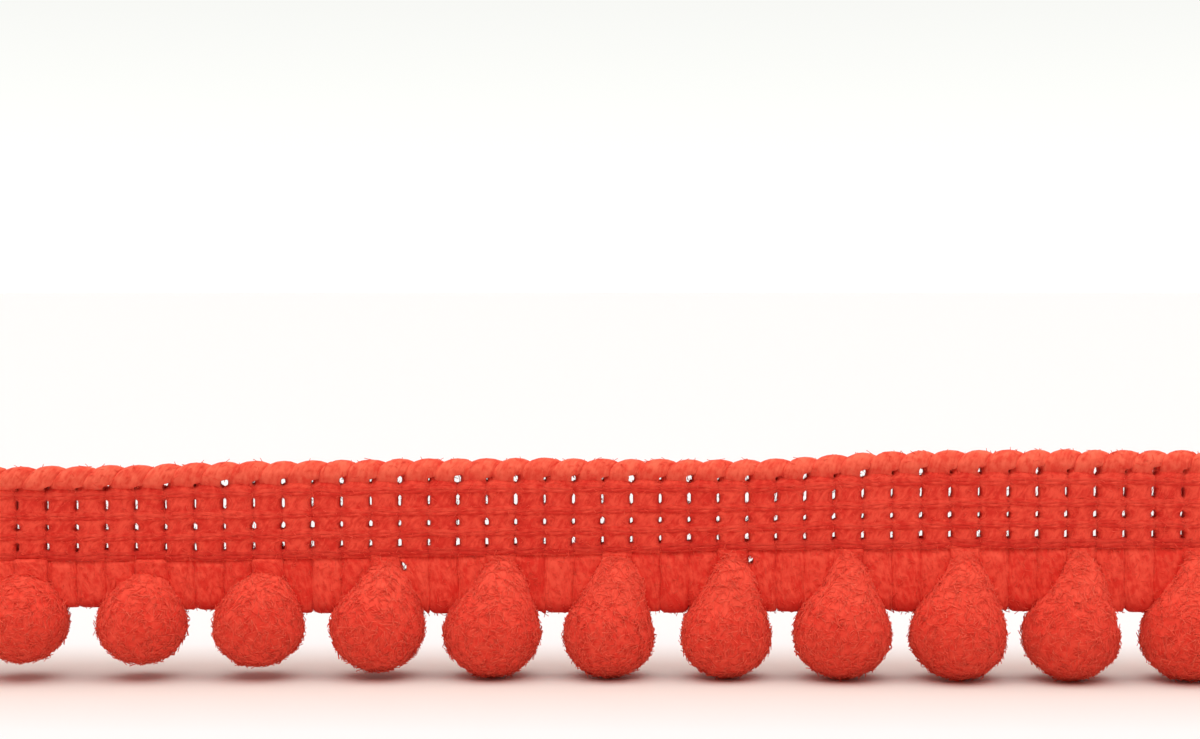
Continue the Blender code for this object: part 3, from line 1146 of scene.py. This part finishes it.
@dataclass
class Pompom:
    """One pompom: a felted ball on a small flat foot, drawn up into the neck that ties it under the braid."""

    hang: Hang
    number: int
    ball: Ball
    foot: float = 1.15
    forward: float = 0.62
    neck: float = 1.02
    knot: float = 1.1  # how far below the groove the neck starts
    hidden: float = 0.12  # and ends, once it is drawn out fully
    slimming: float = 0.20  # how much slimmer the neck is among the loops
    blend: float = 0.35  # how wide the ball, the cone and the neck run into each other
    short_neck: float = 0.9  # the room above a ball's middle, in its radii, that leaves it no neck
    full_pull: float = 0.6  # the further room that draws the neck out fully
    lean_start: float = 0.3
    taper: float = 0.05  # how much slimmer than round the lower half gets towards the foot
    least_foot: float = 0.35
    tuck: float = 0.75  # how far the neck leans back in among the loops by its top
    above: float = 0.40  # painted top light: how much lighter the felt is on the cone and the top of the ball
    skin: float = 0.07  # how far the felt's body lies below the tips of its fibres
    uneven: tuple[tuple[float, float], ...] = ((1.1, 0.07), (2.7, 0.05), (6.0, 0.035))  # fineness, depth
    low_rings: int = 20
    high_rings: int = 23
    sides: int = 44
    pile: Pile = Pile(26.0, 0.46, 0.2, 0.025, tilt=1.47, tilt_spread=0.12, curl=0.14, swirl=1.3)
    first_seed: int = 21
    course: float = field(init=False)
    radius: float = field(init=False)
    middle: float = field(init=False)
    top: float = field(init=False)
    tied: float = field(init=False)
    crown: float = field(init=False)
    pull: float = field(init=False)

    def __post_init__(self) -> None:
        """Works out the heights of the ball and its neck."""
        self.course = self.number * 4 + 1.5
        self.radius = self.ball.width / 2
        self.middle = self.ball.lift + math.sqrt(self.radius**2 - self.foot**2)
        groove = self.hang.value("groove", self.course)
        self.tied = groove - self.knot
        self.crown = min(self.radius, self.tied - self.middle)
        self.pull = clamp((self.tied - self.middle - self.short_neck * self.radius) / self.full_pull)
        drawn_out = max(ease(self.pull * 1.6 - 0.4), 0.4)
        self.top = self.tied + (groove - self.hidden - self.tied) * drawn_out

    def axis(self, height: float) -> tuple[float, float]:
        """The pompom's middle at a height.

        Args:
            height: height above the floor.

        Returns:
            Its X and Y.
        """
        neck = self.hang.station(self.course).hung(0, self.forward, 0)
        low = self.middle + self.lean_start * self.crown
        lean = ease((height - low) / (self.tied - low))
        back = self.tuck * ease((height - self.tied + 0.3) / (self.top - self.tied + 0.3))
        return neck.x + self.ball.aside * (1 - self.pull * lean), neck.y + back

    def reach(self, height: float) -> float:
        """The pompom's radius at a height, without lumps.

        Args:
            height: height above the floor.

        Returns:
            The radius: the ball's, or above it that of a cone from the tied neck that touches the ball.
        """
        half = self.middle - self.ball.lift if height < self.middle else self.crown
        up = min(abs(height - self.middle) / half, 1)
        ball = self.radius * math.sqrt(1 - up * up)
        if height <= self.middle:
            return max(ball * (1 - self.taper * up**2), self.least_foot)
        rise = (height - self.middle) * self.radius / self.crown
        run = (self.ball.drawn - self.middle) * self.radius / self.crown
        touch = self.neck**2 * run**2 + (run**2 - self.radius**2) * (self.radius**2 - self.neck**2)
        slope = (self.radius**2 - self.neck**2) / (self.neck * run + math.sqrt(max(touch, 0)))
        contact = slope * self.radius / math.hypot(1, slope)
        cone = self.neck + slope * max(run - rise, 0) - self.slimming * ease((rise - run) / 0.5)
        wide, slim = max(ball, cone), min(ball, cone)
        near = clamp(1 - (wide - slim) / self.blend)
        joined = wide + self.blend * near * near / 4
        return ball + (joined - ball) * ease((rise - contact) / 0.6 + 0.5)

    def lump(self, angle: float, height: float) -> float:
        """The felt's unevenness round the pompom, as a factor on the radius."""
        turn = self.number * math.radians(137.5)
        return 1 + 0.011 * (math.sin(2 * angle + turn + height) + math.sin(3 * angle - 2 * turn - height))

    def heights(self) -> list[float]:
        """Spaces the body's rings, closer together towards the foot and the top.

        Returns:
            Their heights, from the foot up.
        """
        quarter = math.pi / 2
        drop, climb = self.middle - self.ball.lift, self.top - self.middle
        below, above = range(self.low_rings + 1), range(1, self.high_rings + 1)
        low = [self.middle - drop * math.cos(quarter * i / self.low_rings) for i in below]
        return low + [self.middle + climb * math.sin(quarter * (i / self.high_rings)) for i in above]

    def body(self) -> Mesh:
        """Makes the felt's body, a little below the tips of its fibres.

        Returns:
            Its mesh, in millimetres.
        """
        rings = []
        for height in self.heights():
            x, y = self.axis(height)
            up = (height - self.middle) / self.radius
            # painted top light: lighter from a little above the ball's middle up over the cone
            shelter = -self.above * ease((up - 0.45) / 0.6)
            ring = []
            for angle, cos, sin in around(self.sides):
                reach = self.reach(height) * self.lump(angle, height)
                spot = Vector((x + reach * cos, y + reach * sin, height))
                seat = spot + Vector((self.number * 7.0, 0, 0))
                rough = sum(deep * noise.noise(seat * fine) for fine, deep in self.uneven)
                inwards = Vector((x, y, clamp(height, self.middle * 0.9, self.middle))) - spot
                spot += inwards.normalized() * (self.skin - rough)
                spot.z = max(spot.z, self.ball.lift)
                ring.append(Spot(spot, Vector(), shelter))
            rings.append(ring)
        return skein(f"pompom_{self.number + 1:02d}_body", [Tube(rings, 0.0)])

    def build(self) -> None:
        """Grows the pile on the body, presses it flat at the foot, and enters the pompom."""
        name, seed = f"pompom_{self.number + 1:02d}", self.number + self.first_seed
        felt = self.pile.grow(self.body(), f"{name}_felt", FELT, seed, keep_surface=True)
        for vertex in felt.data.vertices:
            vertex.co.z = max(vertex.co.z, self.ball.lift * MM)
        settle(felt, "pompom_felt", name)


# ----- The loop fringe -----


@dataclass
class LoopFringe:
    """The puffy weft loops below the braid, and the strip of their roots."""

    hang: Hang
    pompoms: list[Pompom]
    seed: int = 23
    half_depth: float = 0.68
    sides: int = 20
    segments: int = 26
    square: float = 0.6  # the power that squares a loop's section
    lap: float = 0.14  # how far the roots reach up behind the heading's lower edge
    fullness: float = 1.16  # how wide a loop is, in courses
    squat: float = 0.78  # the share of its width that is left at its end
    slim_squat: float = 0.44  # and at the end of a loop midway between two pompoms
    overhang: float = 0.55  # how far a loop reaches below the shoulder that it comes down on
    short: float = 1.3  # how far the bundle behind a neck reaches below the groove
    longer: float = 0.7  # and how much further where the pompom has no neck
    tail_start: float = 0.80  # the share of a loop's length at which it rounds off
    slits: tuple[int, ...] = (18, 30)  # the courses where light shows between two loops below the braid
    slit_width: float = 0.50
    slit_drop: float = 0.62  # how far below the groove a slit's middle lies
    bottoms: tuple[LoopRow, ...] = (
        LoopRow(0, 4.12),
        LoopRow(8, 3.94),
        LoopRow(15, 3.61),
        LoopRow(20, 3.52),
        LoopRow(27, 3.63),
        LoopRow(35, 3.76),
        LoopRow(40, 3.82),
        LoopRow(46, 3.69),
        LoopRow(52, 3.62),
    )
    pile: Pile = Pile(7.0, 0.27, 0.13, 0.022, tilt=1.4, tilt_spread=0.2, curl=0.2, swirl=1.6)
    pile_seed: int = 9
    dice: random.Random = field(init=False)

    def __post_init__(self) -> None:
        """Starts the dice."""
        self.dice = random.Random(self.seed)

    def shoulder(self, station: Station, across: float) -> float:
        """The height at which a loop comes down on a pompom; 0 where it comes down on none.

        Args:
            station: the loop's place.
            across: distance along the trim from it.

        Returns:
            The height above the floor.
        """
        met = 0.0
        spot = station.hung(across, 0.0, 0)
        for pompom in self.pompoms:
            height = station.groove - 0.4
            while height > pompom.middle:
                x, y = pompom.axis(height)
                if math.hypot(spot.x - x, spot.y - y) < pompom.reach(height) - 0.1:
                    met = max(met, height)
                    break
                height -= 0.05
        return met

    def loop(self, cell: int) -> Tube:
        """Makes one loop, or the short bundle behind a pompom's neck.

        Args:
            cell: the course of the loop.

        Returns:
            The loop, from its root down.
        """
        station = self.hang.station(cell + 0.5)
        behind_neck = cell % 4 == 1
        bottom = self.hang.value("bottom", cell + 0.5, self.bottoms) + self.dice.uniform(-0.05, 0.05)
        squat = self.slim_squat if cell % 4 == 3 else self.squat
        slack = 1 - self.pompoms[cell // 4].pull if behind_neck else 0.0
        if behind_neck:
            bottom = station.groove - self.short - self.longer * slack
        shoulders = [self.shoulder(station, aside * station.pitch) for aside in (-0.4, 0.0, 0.4)]
        ends = [max(bottom, shoulder - self.overhang) for shoulder in shoulders]
        tucked = clamp(max(ends) - bottom)
        wander, shade = self.dice.uniform(0, 50), self.dice.uniform(-1, 1)
        top = station.groove + self.lap
        rings = []
        for step in range(self.segments + 1):
            u = step / self.segments
            down = 1 - (1 - u) ** 1.25
            root = ease(u / 0.16)
            tail = math.sqrt(1 - clamp((down - self.tail_start) / 0.205) ** 2)
            swell = 1 + 0.04 * noise.noise(Vector((wander, u * 3, 1)))
            puff = 1 + 0.08 * noise.noise(Vector((wander, u * 3, 5)))
            sway = 0.10 * noise.noise(Vector((wander, down * 2.5, 9)))
            wide = station.pitch / 2 * self.fullness * (squat + (1 - squat) * tail) * swell
            deep = self.half_depth * (0.62 + 0.38 * root) * (0.16 + 0.84 * tail) * puff
            # painted shade at the loop's bottom, left out where the loop comes down on a pompom
            tip = 0.7 * (1 - tucked) * ease((down - 0.70) / 0.30)
            ring = []
            for angle, cos, sin in around(self.sides):
                end = ends[1] + (ends[2] - ends[1]) * max(cos, 0) + (ends[0] - ends[1]) * max(-cos, 0)
                height = top + (end - top) * down
                across = wide * squared(cos, self.square)
                if cell in self.slits:
                    slit = self.slit_width * ease(1.6 - abs(height - station.groove + self.slit_drop) / 0.25)
                    across = max(across, slit - wide)
                forward = deep * squared(sin, self.square) - 0.05 + 0.3 * slack * root
                lay = wound(angle + down * 0.8, down * 3.5, wander)
                # painted shade: darker where loops press on each other, near the root under the braid, and at
                # the bottom
                shelter = clamp(0.4 * ease((abs(cos) - 0.8) / 0.2) + 0.2 * (1 - root) + tip)
                ring.append(Spot(station.hung(across + sway, forward, height), lay, shelter))
            rings.append(ring)
        return Tube(rings, shade)

    def build(self) -> None:
        """Makes and enters the fringe's pieces."""
        loops = spun("fringe_loops", LOOP_YARN, [self.loop(cell) for cell in range(self.hang.courses)])
        settle(loops, "loop_yarn", "loop_fringe")
        settle(self.pile.nap((loops,), "fringe_fuzz", self.pile_seed), "loop_yarn")


# ----- The studio -----


@dataclass
class Studio:
    """A white paper floor in a white tent that is open overhead, and the camera."""

    floor_radii: tuple[float, ...] = (180.0, 900.0, 3600.0, 9000.0)
    floor_sides: int = 48
    walls: float = 1.12  # how bright the wall behind the trim is at the floor
    tent: float = 0.15  # and the cloth above it
    ends: float = 0.8  # and the large soft lights at both ends
    fill: float = 0.2  # and the one in front
    zenith: float = 2.6  # and the cloth overhead
    tilt: float = 12.0  # how far the cloth overhead faces the back, in degrees
    white: Colour = (0.99, 0.995, 0.965)
    warm: Colour = (1.0, 0.66, 0.60)
    lens: float = 67.17
    sensor: float = 36.0
    near: float = 5.0
    far: float = 20000.0
    eye: tuple[float, float, float] = (-1.2584, -125.234, 22.0)
    pitch: float = 87.9  # the camera's turn up from straight down, in degrees

    def floor(self) -> Object:
        """Makes the paper floor, so wide that its edge is never seen.

        Returns:
            The floor.
        """
        sides = self.floor_sides
        points = [(r * cos, r * sin, 0.0) for r in self.floor_radii for _, cos, sin in around(sides)]
        faces = [tuple(range(sides))]
        for first in range(0, len(points) - sides, sides):
            for side in range(sides):
                a, b = first + side, first + (side + 1) % sides
                faces.append((a, a + sides, b + sides, b))
        mesh = bpy.data.meshes.new("paper_floor")
        mesh.from_pydata(points, [], faces)
        return piece("paper_floor", mesh, PaperFinish().material())

    def sky(self) -> None:
        """White light from all round: a tent with a bright back wall, soft warm lights and an open top."""
        world = bpy.data.worlds.new("white_tent")
        bpy.context.scene.world = world
        world.use_nodes = True
        t = Tree(world.node_tree)
        way = in_use(t.add("ShaderNodeTexCoord").outputs, "Generated")
        across, back, height = (t.axis(way, name) for name in "XYZ")
        lean = math.radians(self.tilt)
        overhead = ((height * math.cos(lean) - back * math.sin(lean) - 0.72) * 7.0).clamped()
        low = ((0.25 - height) * 9.0).clamped()
        aside = ((across.maths("ABSOLUTE", across) - 0.5) * 4.0).clamped()
        front = (0.1 - back * 2.5).clamped()
        behind = low * (self.walls - self.tent - height * 1.35) * (1.0 - front) * (1.0 - aside)
        lights = aside * (self.ends - self.tent) + front * (1.0 - aside) * (self.fill - self.tent)
        power = behind + (1.0 - overhead) * lights + overhead * (self.zenith - self.tent) + self.tent
        warm = ((1.0 - overhead) * (aside + front)).clamped()
        cloth = t.mixed(warm, self.white, self.warm)
        t.add("ShaderNodeOutputWorld", Surface=t.made("ShaderNodeBackground", Color=cloth, Strength=power))

    def camera(self) -> None:
        """The camera, a little above the trim and almost square to it."""
        data = bpy.data.cameras.new("view")
        data.lens, data.sensor_width = self.lens, self.sensor
        data.clip_start, data.clip_end = self.near * MM, self.far * MM
        obj = bpy.data.objects.new("view", data)
        bpy.context.scene.collection.objects.link(obj)
        obj.location = Vector(self.eye) * MM
        obj.rotation_euler = (math.radians(self.pitch), 0.0, 0.0)
        bpy.context.scene.camera = obj

    def build(self) -> None:
        """Sets the studio up."""
        self.floor()
        self.sky()
        self.camera()
        bpy.context.scene.view_settings.view_transform = "Standard"


def main() -> None:
    """Builds the trim and its studio."""
    logging.basicConfig(level=logging.INFO, format="%(name)s: %(message)s")
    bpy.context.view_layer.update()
    Studio().build()
    hang = Hang()
    BraidHeading(hang).build()
    pompoms = [Pompom(hang, number, ball) for number, ball in enumerate(BALLS)]
    LoopFringe(hang, pompoms).build()
    for pompom in pompoms:
        pompom.build()


if __name__ == "__main__":
    main()
